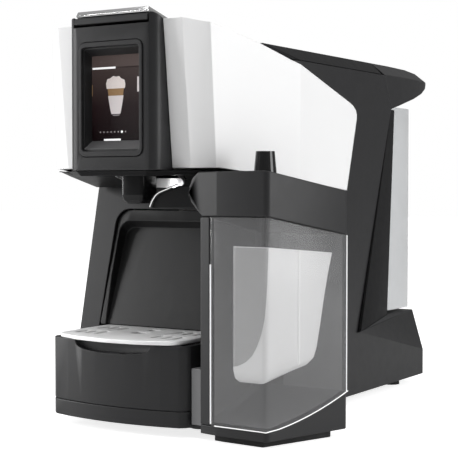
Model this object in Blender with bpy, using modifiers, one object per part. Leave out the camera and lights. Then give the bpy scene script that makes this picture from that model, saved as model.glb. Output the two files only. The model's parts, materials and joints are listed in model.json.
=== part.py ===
"""Pod coffee machine with a milk unit, a touch screen, a drip drawer and a rear water tank.

Lengths are in millimetres and are turned into metres when an object is made. X is the
machine's width with the milk unit on the +X side, Y runs from the front to the back, and Z is
up from the floor. The design frame puts X = 0 on the brewing axis; the origin of the scene is
under the middle of the whole object.
"""

import math

import bmesh
import bpy
from mathutils import Matrix, Vector

MM = 0.001
CENTRE_X = 29.8
CENTRE_Y = 182.9
GAP = 0.3
FAR = 400.0

# Body
HALF = 105.8
FLOOR_GAP = 8.0
WALL = 3.0
SHOULDER = 94.0
REAR_WALL_Y = 299.7
BASE_REAR_Y = 360.0
CREASE_Z = 298.0
ROOF_Z = 309.3
ROOF_FRONT_Y = 66.0
ROOF_WALL = 2.0
NICHE_HALF = 82.5
NICHE_TOP = 174.5
NICHE_BOTTOM = 72.0

# Head
HEAD_FRONT_HALF = 61.5
HEAD_CORNER_HALF = 78.7
FLARE_Y = 108.0
MODULE_HALF = 43.5
MODULE_FRONT_Y = -10.0
MODULE_BACK_Y = 14.0
MODULE_BOTTOM = 207.5
LID_HALF = 36.3
LID_PIVOT = (0.0, 58.0, 303.5)
SCREEN_HALF = 28.0
SCREEN_LOW = 223.2
SCREEN_HIGH = 304.8

# Drip drawer
DRAWER_HALF = 67.2
DRAWER_FRONT_Y = -12.5
DRAWER_BOTTOM = 21.0
DRAWER_TOP = 71.5
BOW = 0.0021
FINGER_RECESS = [(37.2, 80.0), (37.0, 69.6), (34.4, 66.4), (28.0, 64.4), (14.0, 63.0)]

# Milk unit and its dock
DOCK_RIGHT = 78.4
DOCK_SILL_Z = 10.4
MILK_LEFT = 79.0
MILK_BACK_Y = 76.0
MILK_LID_SLOPE = -0.19
KNOB_AT = (118.0, 30.0)

# Brewing
SPOUT_Y = 28.0
PISTON_Z = 250.0

# Water tank
TANK_FRONT_Y = 300.4
TANK_BACK_Y = 353.0
TANK_BOTTOM = 75.0
TANK_TOP = 271.0
VALVE_AT = (0.0, 327.0)

FINISHES = {
    "black_satin": ((0.022, 0.022, 0.024), 0.38, 0.0),
    "black_gloss": ((0.012, 0.012, 0.013), 0.15, 0.0),
    "white_gloss": ((0.86, 0.86, 0.86), 0.18, 0.0),
    "chrome": ((0.8, 0.8, 0.8), 0.08, 1.0),
    "steel": ((0.62, 0.62, 0.62), 0.28, 1.0),
    "grey": ((0.17, 0.17, 0.175), 0.45, 0.0),
    "clear": ((0.78, 0.8, 0.82), 0.05, 0.0),
    "frosted": ((0.75, 0.75, 0.76), 0.3, 0.0),
    "screen": ((0.03, 0.022, 0.02), 0.2, 0.0),
    "rubber": ((0.02, 0.02, 0.02), 0.8, 0.0),
    "board": ((0.02, 0.12, 0.05), 0.5, 0.0),
    "nylon": ((0.55, 0.55, 0.52), 0.5, 0.0),
}


# ---------------------------------------------------------------- scene and object helpers


def clear_scene():
    for obj in list(bpy.data.objects):
        bpy.data.objects.remove(obj, do_unlink=True)


def new_collection(name):
    collection = bpy.data.collections.new(name)
    bpy.context.scene.collection.children.link(collection)
    return collection


clear_scene()
PARTS = new_collection("pod_coffee_machine")
CUTTERS = new_collection("cutters")


def place(point):
    x, y, z = point
    return Vector(((x - CENTRE_X) * MM, (y - CENTRE_Y) * MM, z * MM))


def finish_material(name, finish):
    colour, roughness, metallic = FINISHES[finish]
    material = bpy.data.materials.new(name)
    material.use_nodes = True
    shader = material.node_tree.nodes["Principled BSDF"]
    shader.inputs["Base Color"].default_value = (*colour, 1.0)
    shader.inputs["Roughness"].default_value = roughness
    shader.inputs["Metallic"].default_value = metallic
    if finish == "clear":
        shader.inputs["Alpha"].default_value = 0.35
    material.diffuse_color = (*colour, 1.0)
    return material


def object_from(name, bm, origin=(0.0, 0.0, 0.0)):
    """Makes an object from a bmesh in design millimetres, with its origin at a design point."""
    bmesh.ops.translate(bm, verts=bm.verts, vec=-Vector(origin))
    bmesh.ops.scale(bm, verts=bm.verts, vec=(MM, MM, MM))
    bmesh.ops.recalc_face_normals(bm, faces=bm.faces)
    mesh = bpy.data.meshes.new(name)
    bm.to_mesh(mesh)
    bm.free()
    obj = bpy.data.objects.new(name, mesh)
    obj.location = place(origin)
    return obj


def part(name, bm, finish, origin=(0.0, 0.0, 0.0)):
    obj = object_from(name, bm, origin)
    PARTS.objects.link(obj)
    obj.data.materials.append(finish_material(name, finish))
    return obj


def operand(name, bm):
    obj = object_from(name, bm)
    CUTTERS.objects.link(obj)
    obj.hide_render = True
    obj.display_type = "WIRE"
    return obj


def combine(target, bm, operation):
    other = operand(f"{target.name}_{operation.lower()}_{len(target.modifiers)}", bm)
    modifier = target.modifiers.new(operation.title(), "BOOLEAN")
    modifier.operation = operation
    modifier.solver = "EXACT"
    modifier.object = other


def cut(target, *shapes):
    for shape in shapes:
        combine(target, shape, "DIFFERENCE")


def join(target, *shapes):
    for shape in shapes:
        combine(target, shape, "UNION")


def trim(target, *shapes):
    for shape in shapes:
        combine(target, shape, "INTERSECT")


def evaluated(shape):
    """The bmesh, in design millimetres, of an operand with its own modifiers applied."""
    bpy.context.view_layer.update()
    result = bmesh.new()
    result.from_object(shape, bpy.context.evaluated_depsgraph_get())
    result.transform(Matrix.Diagonal((1 / MM, 1 / MM, 1 / MM, 1.0)))
    return result


def round_edges(target, width, segments=2, angle=35.0):
    modifier = target.modifiers.new("Bevel", "BEVEL")
    modifier.width = width * MM
    modifier.segments = segments
    modifier.limit_method = "ANGLE"
    modifier.angle_limit = math.radians(angle)


# ---------------------------------------------------------------- shapes, in design millimetres


def box(x0, x1, y0, y1, z0, z1):
    bm = bmesh.new()
    size = Matrix.Diagonal((x1 - x0, y1 - y0, z1 - z0, 1.0))
    middle = Matrix.Translation(((x0 + x1) / 2, (y0 + y1) / 2, (z0 + z1) / 2))
    bmesh.ops.create_cube(bm, size=1.0, matrix=middle @ size)
    return bm


TURNS = {
    "X": Matrix.Rotation(math.radians(90), 4, "Y"),
    "Y": Matrix.Rotation(math.radians(-90), 4, "X"),
    "Z": Matrix.Identity(4),
}


def rod(centre, axis, low, high, radius, end_radius=None, sides=32):
    """A cylinder or cone from low to high along an axis, through a centre given in the other two."""
    centre = list(centre)
    centre.insert("XYZ".index(axis), (low + high) / 2)
    bm = bmesh.new()
    bmesh.ops.create_cone(
        bm,
        cap_ends=True,
        segments=sides,
        radius1=radius,
        radius2=radius if end_radius is None else end_radius,
        depth=high - low,
        matrix=Matrix.Translation(centre) @ TURNS[axis],
    )
    return bm


def loft(rings):
    """Joins rings of equal point count, given as (x, y, z) points, and caps the two ends."""
    bm = bmesh.new()
    rows = [[bm.verts.new(point) for point in ring] for ring in rings]
    count = len(rows[0])
    for low, high in zip(rows, rows[1:]):
        for i in range(count):
            j = (i + 1) % count
            bm.faces.new((low[i], low[j], high[j], high[i]))
    bm.faces.new(rows[0][::-1])
    bm.faces.new(rows[-1])
    bmesh.ops.triangulate(bm, faces=bm.faces)
    return bm


def slab(points, axis, low, high):
    """A flat outline as a filled 2D curve, extruded from low to high along an axis.

    The outline's points are (y, z) for X, (x, z) for Y and (x, y) for Z.
    """
    curve = bpy.data.curves.new("outline", "CURVE")
    curve.dimensions = "2D"
    curve.fill_mode = "BOTH"
    curve.extrude = (high - low) / 2
    spline = curve.splines.new("POLY")
    spline.points.add(len(points) - 1)
    for target, (u, v) in zip(spline.points, points):
        target.co = (u, v, 0.0, 1.0)
    spline.use_cyclic_u = True
    holder = bpy.data.objects.new("outline", curve)
    bpy.context.scene.collection.objects.link(holder)
    graph = bpy.context.evaluated_depsgraph_get()
    mesh = bpy.data.meshes.new_from_object(holder.evaluated_get(graph))
    bpy.data.objects.remove(holder, do_unlink=True)
    bm = bmesh.new()
    bm.from_mesh(mesh)
    bpy.data.meshes.remove(mesh)
    bmesh.ops.remove_doubles(bm, verts=bm.verts, dist=0.001)
    bmesh.ops.dissolve_limit(bm, angle_limit=math.radians(0.5), verts=bm.verts, edges=bm.edges)
    middle = (low + high) / 2
    axes = {
        "X": Matrix(((0, 0, 1, middle), (1, 0, 0, 0), (0, 1, 0, 0), (0, 0, 0, 1))),
        "Y": Matrix(((1, 0, 0, 0), (0, 0, 1, middle), (0, 1, 0, 0), (0, 0, 0, 1))),
        "Z": Matrix.Translation((0, 0, middle)),
    }
    bm.transform(axes[axis])
    return bm


def rounded(points, radii, steps=4):
    """The outline with each corner replaced by an arc; a radius of 0 keeps the corner."""
    if not isinstance(radii, (list, tuple)):
        radii = [radii] * len(points)
    result = []
    for i, radius in enumerate(radii):
        here = Vector(points[i])
        if radius == 0:
            result.append(tuple(here))
            continue
        back = (Vector(points[i - 1]) - here).normalized()
        ahead = (Vector(points[(i + 1) % len(points)]) - here).normalized()
        half = back.angle(ahead) / 2
        centre = here + (back + ahead).normalized() * (radius / math.sin(half))
        start = here + back * (radius / math.tan(half)) - centre
        end = here + ahead * (radius / math.tan(half)) - centre
        for k in range(steps + 1):
            share = k / steps
            turn = start.angle(end)
            arm = (start * math.sin((1 - share) * turn) + end * math.sin(share * turn)) / math.sin(turn)
            result.append(tuple(centre + arm))
    return result


def rectangle(x0, x1, y0, y1):
    return [(x0, y0), (x1, y0), (x1, y1), (x0, y1)]


def mirrored(points):
    """Right-hand points from front to back, completed with their mirror images."""
    return points + [(-x, *rest) for x, *rest in reversed(points)]


def ring_at(points, z):
    return [(x, y, z) for x, y in points]


def tube(name, points, radius, finish, resolution=2):
    """A bent pipe or wire as a curve with a round bevel and filled caps."""
    curve = bpy.data.curves.new(name, "CURVE")
    curve.dimensions = "3D"
    curve.bevel_depth = radius * MM
    curve.bevel_resolution = resolution
    curve.use_fill_caps = True
    spline = curve.splines.new("POLY")
    spline.points.add(len(points) - 1)
    for target, point in zip(spline.points, points):
        target.co = (*place(point), 1.0)
    obj = bpy.data.objects.new(name, curve)
    obj.data.materials.append(finish_material(name, finish))
    PARTS.objects.link(obj)
    return obj


def smooth_path(knots, steps=6):
    """Points along a Catmull-Rom curve through the knots."""
    knots = [Vector(knot) for knot in knots]
    padded = [2 * knots[0] - knots[1], *knots, 2 * knots[-1] - knots[-2]]
    path = []
    for a, b, c, d in zip(padded, padded[1:], padded[2:], padded[3:]):
        for k in range(steps):
            t = k / steps
            square = 2 * a - 5 * b + 4 * c - d
            cube = 3 * b - a - 3 * c + d
            path.append(tuple((2 * b + (c - a) * t + square * t**2 + cube * t**3) / 2))
    path.append(tuple(knots[-1]))
    return path


# ---------------------------------------------------------------- lines shared by several parts


def pillar_y(z):
    """The front edge of the side pillars, which lean back with height."""
    return 81.0 + 0.22 * (z - 66.0)


def fold_y(z):
    """The rear edge of the column's side, where it turns in behind."""
    return 220.5 + 0.306 * (z - 64.0)


def casing_top_z(y):
    """The head's sloping top."""
    return 324.8 - 0.245 * y


def casing_lean(z):
    """How far the head's front leans back below its top."""
    return 12.0 * (323.0 - z) / 114.0


def nose_y(z):
    """The slanted joint between the roof and the tank lid."""
    return 266.5 + 0.5 * (300.8 - z)


def drawer_front(x, y=DRAWER_FRONT_Y):
    return y + BOW * x * x


def bowed_outline(half, front, back, corner):
    """A front edge bowed forwards, with rounded front corners and square back ones."""
    steps = 8
    inner = half - corner
    arc = [
        (inner * (1 - 2 * k / steps), drawer_front(inner * (1 - 2 * k / steps), front))
        for k in range(steps + 1)
    ]
    side = drawer_front(half, front) + corner
    right = [(half, back), (half, side), (half - corner * 0.3, drawer_front(half, front) + corner * 0.35)]
    left = [(-x, y) for x, y in reversed(right)]
    return right + arc + left


def head_outline(z, inset=0.0, back=240.0):
    """The head's plan at a height: flat front, chamfered corners, sides flaring to full width."""
    lean = casing_lean(z)
    corner_y = 13.5 + 0.55 * lean
    front = lean + inset
    return mirrored(
        [
            (HEAD_FRONT_HALF - inset * 0.4, front),
            (HEAD_CORNER_HALF + 0.1 * lean - inset, corner_y + inset * 0.6),
            (HALF - inset, FLARE_Y + inset * 0.3),
            (HALF - inset, back),
        ]
    )


CASING_SEAM = [
    (191.8, 191.2),
    (201.3, 222.6),
    (210.7, 254.5),
    (211.0, 258.3),
    (208.9, 262.7),
    (203.4, 266.4),
    (197.0, 268.7),
    (172.1, 275.8),
]


def casing_profile(offset=0.0):
    """Side view of the white casing, moved out by an offset where the black housing meets it."""
    moved = [(y + offset, z + (offset if y < 205 and z > 260 else 0)) for y, z in CASING_SEAM]
    moved[0] = (moved[0][0], moved[0][1] - offset)
    return (
        [(-30.0, 209.3 - offset), (24.0, 209.2 - offset)]
        + moved
        + [
            (98.0, 298.0 + offset), (62.0, casing_top_z(62.0) + offset),
            (-30.0, casing_top_z(-30.0) + offset),
        ]
    )


# ---------------------------------------------------------------- body


def column_ring(z, inset):
    fold = fold_y(z) - inset * 0.4
    front = pillar_y(z) + inset
    return ring_at(
        mirrored(
            [
                (HALF - inset, front),
                (HALF - inset, fold),
                (SHOULDER - inset * 0.8, REAR_WALL_Y - inset),
            ]
        ),
        z,
    )


def base_ring(y, side_z, top_z, inset, low):
    edge = HALF - inset
    shoulder = SHOULDER - inset
    points = [(edge, low), (edge, side_z), (shoulder, top_z)]
    return [(x, y, z) for x, z in points] + [(-x, y, z) for x, z in reversed(points)]


def build_housing():
    housing = part(
        "rear_housing",
        loft([column_ring(55.0, 0.0), column_ring(CREASE_Z, 0.0)]),
        "black_satin",
    )
    base = loft(
        [
            base_ring(80.0, 62.0, 62.0, 0.0, FLOOR_GAP),
            base_ring(216.5, 63.6, 73.6, 0.0, FLOOR_GAP),
            base_ring(BASE_REAR_Y, 32.3, 71.5, 0.0, FLOOR_GAP),
        ]
    )
    join(housing, base)
    inner_base = loft(
        [
            base_ring(80.0 + WALL, 59.0, 60.0, WALL, 0.0),
            base_ring(216.5, 60.6, 69.6, WALL, 0.0),
            base_ring(BASE_REAR_Y - WALL, 29.5, 68.0, WALL, 0.0),
        ]
    )
    cut(housing, inner_base, loft([column_ring(52.0, WALL), column_ring(315.0, WALL)]))
    for side in (-1, 1):
        cheek = [
            (102.9, 98.0), (HALF, FLARE_Y), (HALF, 150.0), (HALF - WALL, 150.0),
            (HALF - WALL, 109.0), (100.0, 98.6),
        ]
        join(housing, slab([(side * x, y) for x, y in cheek], "Z", 270.0, CREASE_Z))
    tongue = bowed_outline(DRAWER_HALF, DRAWER_FRONT_Y, 176.0, 6.0)
    join(housing, slab(tongue, "Z", FLOOR_GAP, DRAWER_BOTTOM - GAP))
    join(housing, box(60.0, DOCK_RIGHT, 2.0, 83.5, FLOOR_GAP, DOCK_SILL_Z))
    cut(
        housing,
        box(-63.0, 63.0, 1.0, 173.0, 0.0, DRAWER_BOTTOM - GAP - WALL),
        box(-69.0, 69.0, 70.0, 90.0, DRAWER_BOTTOM - GAP, NICHE_BOTTOM + 1.0),
    )
    opening = rounded(
        [
            (-NICHE_HALF - 2, 71.0), (NICHE_HALF + 2, 71.0), (NICHE_HALF - 2, NICHE_TOP),
            (-NICHE_HALF + 2, NICHE_TOP),
        ],
        [0, 0, 13, 13],
    )
    cut(housing, slab(opening, "Y", 60.0, 150.0))
    cut(housing, slab(casing_profile(GAP), "X", -FAR, FAR))
    nose = [(nose_y(330.0), 330.0), (nose_y(266.7), 266.7), (330.0, 266.7), (330.0, 330.0)]
    cut(housing, slab(nose, "X", -FAR, FAR))
    cut(
        housing,
        box(-62.3, -27.7, 350.0, 366.0, 19.7, 46.3),
        box(29.7, 50.3, 350.0, 366.0, 21.7, 42.3),
        rod(VALVE_AT, "Z", 60.0, 80.0, 14.3),
    )
    return housing


def roof_shoulders(depth):
    """The roof's bevelled section, moved inwards by a depth."""
    slope = (HALF - SHOULDER) / (ROOF_Z - CREASE_Z - GAP)
    shift = depth * math.hypot(1.0, slope)
    top = ROOF_Z - depth
    low_x = HALF - shift
    return (low_x, CREASE_Z + GAP), (low_x - slope * (top - CREASE_Z - GAP), top)


def build_roof():
    low, high = roof_shoulders(0.0)
    roof = part(
        "roof_cover",
        slab([(-low[0], low[1]), low, high, (-high[0], high[1])], "Y", ROOF_FRONT_Y, 262.0),
        "black_satin",
    )
    low, high = roof_shoulders(ROOF_WALL)
    inner = [(-low[0], 290.0), (low[0], 290.0), low, high, (-high[0], high[1]), (-low[0], low[1])]
    cut(roof, slab(inner, "Y", 40.0, 262.0 - ROOF_WALL))
    for low_x, high_x in ((-FAR, -88.0), (88.0, FAR)):
        cut(roof, slab(casing_profile(GAP), "X", low_x, high_x))
    trim(roof, loft([ring_at(head_outline(z, 0.0, 320.0), z) for z in (290.0, 320.0)]))


def casing_hollow():
    """The space inside the casing: open below, behind and under the roof."""
    shape = operand("casing_hollow_plan", loft([ring_at(head_outline(z, WALL), z) for z in (150.0, 335.0)]))
    ceiling = [
        (-40.0, 140.0),
        (300.0, 140.0),
        (300.0, 330.0),
        (ROOF_FRONT_Y - 0.4, 330.0),
        (ROOF_FRONT_Y - 0.4, casing_top_z(62.0) - WALL),
        (-40.0, casing_top_z(-40.0) - WALL),
    ]
    combine(shape, slab(ceiling, "X", -FAR, FAR), "INTERSECT")
    return evaluated(shape)


def build_casing():
    outer = loft([ring_at(head_outline(z), z) for z in (180.0, 335.0)])
    casing = part("white_casing", outer, "white_gloss")
    trim(casing, slab(casing_profile(), "X", -FAR, FAR))
    cut(
        casing,
        casing_hollow(),
        box(-88.0, 88.0, ROOF_FRONT_Y - GAP, 275.0, CREASE_Z, 330.0),
        box(-MODULE_HALF - GAP, MODULE_HALF + GAP, -40.0, MODULE_BACK_Y + GAP, 190.0, 340.0),
        box(-LID_HALF - GAP, LID_HALF + GAP, 0.0, 80.0, 295.5, 340.0),
    )
    bridge = [(-90.0, 64.5), (90.0, 64.5), (101.0, 103.0), (-101.0, 103.0)]
    join(casing, slab(bridge, "Z", 292.0, 295.0))
    cut(casing, box(-42.0, 42.0, 60.0, 66.0, 290.0, 296.0))


def build_belly():
    top_rear = 199.6
    upper = mirrored(
        [
            (35.0, -9.6, 207.2), (43.0, -3.0, 207.2), (61.5, 12.6, 207.2), (79.4, 20.6, 207.2),
            (87.0, 45.0, 206.4), (104.4, 104.0, top_rear),
        ]
    )
    lower = mirrored(
        [
            (32.0, -7.5, 203.0), (40.0, -1.0, 203.2), (59.0, 15.0, 204.2), (77.5, 22.5, 206.2),
            (86.0, 45.0, 203.0), (104.4, 104.0, 193.8),
        ]
    )
    belly = part("belly_cover", loft([lower, upper]), "black_satin")
    cut(
        belly,
        rod((0.0, 36.0), "Z", 180.0, 204.4, 33.2, sides=48),
        rod((0.0, SPOUT_Y), "Z", 190.0, 215.0, 6.5),
    )
    cut(belly, box(-24.5, 24.5, 60.0, 120.0, 200.0, 215.0))


def build_niche():
    """A tub whose back leans more than the pillars, with a rounded upper lip."""
    front = [
        (-NICHE_HALF - 1.6, NICHE_BOTTOM + GAP), (NICHE_HALF + 1.6, NICHE_BOTTOM + GAP),
        (NICHE_HALF - 2.4, NICHE_TOP - GAP), (-NICHE_HALF + 2.4, NICHE_TOP - GAP),
    ]
    outline = rounded(front, [0, 0, 12.6, 12.6])
    back = rounded(
        [(-78.0, NICHE_BOTTOM - 4.0), (78.0, NICHE_BOTTOM - 4.0), (77.5, 160.0), (-77.5, 160.0)],
        [0, 0, 9, 9],
    )

    def panel(points, depth):
        return [(x, pillar_y(z) + depth + 0.12 * (z - 66.0) * min(depth, 1.0), z) for x, z in points]

    wall = 2.4
    outer = loft([panel(outline, 0.2), panel([(x * 1.02, z) for x, z in back], 4.5)])
    niche = part("niche_panel", outer, "black_satin")
    shrunk = [(x * 0.97, z - (2.2 if z > 100 else 0)) for x, z in outline]
    hollow = loft(
        [
            [(x, y - 12.0, z + 1.0) for x, y, z in panel(shrunk, 0.0)],
            panel([(x * 0.99, z - 2.0) for x, z in back], 4.5 - wall),
        ]
    )
    cut(niche, hollow)
    cut(niche, box(-FAR, FAR, 0.0, FAR, 0.0, NICHE_BOTTOM + GAP))


def build_base():
    half = HALF - WALL - 0.5
    rear = BASE_REAR_Y - WALL - 0.6
    outline = [
        (-half, 84.0), (-half, rear), (half, rear), (half, 84.0), (67.6, 84.0), (67.6, 176.6),
        (-67.6, 176.6), (-67.6, 84.0),
    ]
    part("bottom_plate", slab(outline, "Z", FLOOR_GAP + 0.4, FLOOR_GAP + 2.6), "black_satin")
    for name, x, y, top in (
        ("front_left", -50.0, 44.0, DRAWER_BOTTOM - WALL - 2 * GAP),
        ("front_right", 50.0, 44.0, DRAWER_BOTTOM - WALL - 2 * GAP),
        ("rear_left", -84.0, 330.0, FLOOR_GAP + 0.1),
        ("rear_right", 84.0, 330.0, FLOOR_GAP + 0.1),
    ):
        part(f"foot_{name}", rod((x, y), "Z", 0.0, top, 9.0, 8.2, sides=24), "rubber")
    part("dock_rail", box(68.4, DOCK_RIGHT, 2.0, 79.6, DOCK_SILL_Z + GAP, 54.5), "grey")


# ---------------------------------------------------------------- screen module


def build_module():
    outline = rounded(
        [
            (-MODULE_HALF, MODULE_FRONT_Y), (MODULE_HALF, MODULE_FRONT_Y),
            (MODULE_HALF, MODULE_BACK_Y), (-MODULE_HALF, MODULE_BACK_Y),
        ],
        [8.8, 8.8, 0, 0],
        steps=6,
    )
    module = part("screen_module", slab(outline, "Z", MODULE_BOTTOM, 329.6), "black_satin")
    top = [
        (-20.0, 329.6), (-8.0, 329.6), (1.0, casing_top_z(1.0) + 0.4),
        (40.0, casing_top_z(40.0) + 0.4), (40.0, 340.0), (-20.0, 340.0),
    ]
    cut(
        module,
        slab(top, "X", -FAR, FAR),
        box(-LID_HALF - GAP, LID_HALF + GAP, -30.0, 40.0, 321.6, 340.0),
        box(-41.0, 41.0, 0.7, 30.0, MODULE_BOTTOM + 2.5, 319.0),
    )
    groove = rounded(rectangle(-31.5, 31.5, 218.2, 309.3), 6.3)
    cut(module, slab(groove, "Y", -30.0, -8.2))
    cut(module, loft([recess_ring(-30.0), recess_ring(10.0)]))
    ring = part(
        "screen_ring",
        slab(rounded(rectangle(-31.2, 31.2, 218.5, 309.0), 6.0), "Y", -11.0, -8.5),
        "black_gloss",
    )
    cut(
        ring,
        slab(
            rounded(
                rectangle(-SCREEN_HALF - 0.4, SCREEN_HALF + 0.4, SCREEN_LOW - 0.4, SCREEN_HIGH + 0.4),
                2.5,
            ),
            "Y",
            -30.0,
            0.0,
        ),
    )
    part("display_glass", box(-30.0, 30.0, 1.0, 2.2, 226.0, 304.0), "clear")
    part("display_panel", box(-29.5, 29.5, 2.5, 4.6, 226.5, 303.5), "screen")
    part("control_board", box(-36.0, 36.0, 8.0, 9.6, 216.0, 312.0), "board")


def recess_ring(y):
    """The screen recess at a depth; it narrows towards the display."""
    share = (y - MODULE_FRONT_Y) / 10.7
    side = SCREEN_HALF - 1.5 * share
    low = SCREEN_LOW + 8.4 * share
    high = SCREEN_HIGH - 5.8 * share
    return [(-side, y, low), (side, y, low), (side, y, high), (-side, y, high)]


# ---------------------------------------------------------------- pod lid and brewing unit


def build_lid():
    _, pivot_y, pivot_z = LID_PIVOT
    knuckle = [
        (
            pivot_y + 4.0 * math.cos(math.radians(a)),
            pivot_z + 4.0 * math.sin(math.radians(a)),
        ) for a in range(75, -196, -30)
    ]
    side = (
        [(-10.0, 323.6), (-10.0, 328.4), (-9.0, 329.0), (-6.0, 328.6), (50.0, 314.6)]
        + knuckle
        + [(48.0, 308.0), (MODULE_BACK_Y + 2.0, 316.6), (MODULE_BACK_Y + 2.0, 322.4), (8.0, 323.6)]
    )
    lid = part("pod_lid", slab(side, "X", -LID_HALF, LID_HALF), "black_gloss", LID_PIVOT)
    cut(lid, rod((pivot_y, pivot_z), "X", -60.0, 60.0, 2.55, sides=24))
    plate = [
        (-8.6, 329.4), (-9.2, 331.0), (-7.0, 334.6), (49.0, 320.6), (52.0, 317.5), (50.4, 314.9),
        (-6.0, 328.9),
    ]
    chrome = part(
        "lid_chrome_plate",
        slab(plate, "X", -LID_HALF + 1.0, LID_HALF - 1.0),
        "chrome",
        LID_PIVOT,
    )
    round_edges(chrome, 1.2, 2, 50.0)
    part("lid_pin", rod((pivot_y, pivot_z), "X", -41.6, 41.6, 2.2, sides=24), "steel")


def build_brewing():
    inner = 37.2
    outer = 40.4
    frame = [
        (-outer, 222.0), (outer, 222.0), (outer, 306.2), (inner, 306.2), (inner, 225.0),
        (-inner, 225.0), (-inner, 306.2), (-outer, 306.2),
    ]
    bracket = part("brew_frame", slab(frame, "Y", 15.0, 63.0), "nylon")
    join(bracket, box(-outer, outer, 60.0, 116.0, 222.0, 225.0))
    cut(
        bracket,
        box(-22.0, 22.0, 49.5, 92.0, 200.0, 226.0),
        rod((0.0, SPOUT_Y), "Z", 200.0, 230.0, 6.5),
        rod((LID_PIVOT[1], LID_PIVOT[2]), "X", -60.0, 60.0, 2.5, sides=24),
    )
    holder = part("pod_holder", box(-30.0, 30.0, 16.0, 48.8, 225.4, 300.0), "nylon")
    cut(
        holder,
        box(-20.0, 20.0, 21.0, 60.0, PISTON_Z, 310.0),
        rod((0.0, PISTON_Z), "Y", 21.0, 60.0, 20.0),
        rod((0.0, SPOUT_Y), "Z", 215.0, 235.0, 3.0, sides=16),
    )
    piston = part("brew_piston", rod((0.0, PISTON_Z), "Y", 46.0, 57.0, 18.6), "nylon")
    join(piston, rod((0.0, PISTON_Z), "Y", 56.0, 116.0, 6.0, sides=24))
    guide = part("piston_guide", box(-14.0, 14.0, 98.0, 112.0, 225.4, 264.0), "nylon")
    cut(guide, rod((0.0, PISTON_Z), "Y", 90.0, 120.0, 6.3, sides=24))
    outer_rings = chute_rings(23.4, 0.0)
    chute = part("pod_chute", loft(outer_rings), "nylon")
    cut(chute, loft(chute_rings(21.4, 2.0)))


def chute_rings(half, inset):
    """The used pod's path: under the brewing frame, back over the niche and down to the bin."""
    lows = [(48.0, 221.6), (50.0, 212.0), (113.0, 205.5), (118.0, 198.0), (118.0, 74.0)]
    highs = [(93.5, 221.6), (94.5, 219.0), (125.0, 219.0), (156.0, 205.0), (156.0, 74.0)]
    rings = []
    for step, ((y0, z0), (y1, z1)) in enumerate(zip(lows, highs)):
        reach = 6.0 * (step == 0) - 6.0 * (step == len(lows) - 1) if inset else 0.0
        run = Vector((y1 - y0, z1 - z0)).normalized() * inset
        rings.append(
            [
                (-half, y0 + run.x, z0 + run.y + reach),
                (half, y0 + run.x, z0 + run.y + reach),
                (half, y1 - run.x, z1 - run.y + reach),
                (-half, y1 - run.x, z1 - run.y + reach),
            ]
        )
    return rings


def build_spout():
    body = loft(
        [
            ring_at(rounded(rectangle(-7.5, 7.5, SPOUT_Y - 8.0, SPOUT_Y + 8.0), 3.0), 181.0),
            ring_at(rounded(rectangle(-10.0, 10.0, SPOUT_Y - 10.0, SPOUT_Y + 10.0), 3.0), 183.5),
            ring_at(rounded(rectangle(-11.0, 11.0, SPOUT_Y - 11.0, SPOUT_Y + 11.0), 3.0), 188.0),
            ring_at(rounded(rectangle(-11.0, 11.0, SPOUT_Y - 11.0, SPOUT_Y + 11.0), 3.0), 204.0),
        ]
    )
    spout = part("coffee_spout", body, "black_gloss")
    join(spout, rod((0.0, SPOUT_Y), "Z", 203.0, 225.0, 6.0, sides=24))
    cut(
        spout,
        rod((0.0, SPOUT_Y), "Z", 195.0, 230.0, 3.0, sides=16),
        rod((0.0, SPOUT_Y), "Z", 170.0, 200.0, 3.0, sides=16),
    )
    steps = 20
    arc = [math.pi * k / steps for k in range(steps + 1)]
    outer = [(32.6 * math.cos(a), 36.0 + 32.6 * math.sin(a)) for a in arc]
    inner = [(31.2 * math.cos(a), 36.0 + 31.2 * math.sin(a)) for a in reversed(arc)]
    part("spout_reflector", slab(outer + inner, "Z", 193.6, 204.0), "chrome")


# ---------------------------------------------------------------- drip drawer


def build_drawer():
    outline = bowed_outline(DRAWER_HALF, DRAWER_FRONT_Y, 78.0, 6.0)
    drawer = part("drip_drawer", slab(outline, "Z", DRAWER_BOTTOM, DRAWER_TOP), "black_satin")
    join(drawer, box(-66.0, 66.0, 70.0, 171.0, DRAWER_BOTTOM, 66.0))
    depth = drawer_front(0.0) + 7.5
    pocket = slab(mirrored(FINGER_RECESS), "Y", -40.0, depth)
    half_basin = 62.5
    cut(
        drawer,
        box(-half_basin, half_basin, 1.0, 76.0, DRAWER_BOTTOM + 2.6, 100.0),
        box(-half_basin, half_basin, 79.0, 168.0, DRAWER_BOTTOM + 2.6, 100.0),
        pocket,
    )
    grid_outline = rounded(
        [
            (60.0, 64.5), (-60.0, 64.5), (-60.0, -4.5), (-30.0, -15.6), (0.0, -18.5), (30.0, -15.6),
            (60.0, -4.5),
        ],
        [6, 6, 13, 40, 60, 40, 13],
        steps=4,
    )
    grid = part("drip_grid", slab(grid_outline, "Z", 71.9, 75.2), "steel")
    slots = [
        box(x - 2.0, x + 2.0, y - 8.5, y + 8.5, 60.0, 90.0)
        for x in (-48.0, -38.0, -28.0, 28.0, 38.0, 48.0) for y in (14.0, 44.0)
    ]
    cut(grid, *slots)
    cut(grid, box(-6.0, 6.0, 22.0, 34.0, 60.0, 90.0), box(-4.0, 4.0, 44.0, 52.0, 60.0, 90.0))
    pod_bin = part(
        "pod_bin",
        slab(rounded(rectangle(-61.6, 61.6, 80.0, 167.0), 6.0), "Z", 24.0, 64.0),
        "grey",
    )
    cut(pod_bin, slab(rounded(rectangle(-59.6, 59.6, 82.0, 165.0), 4.5), "Z", 26.0, 90.0))


# ---------------------------------------------------------------- milk unit


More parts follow.
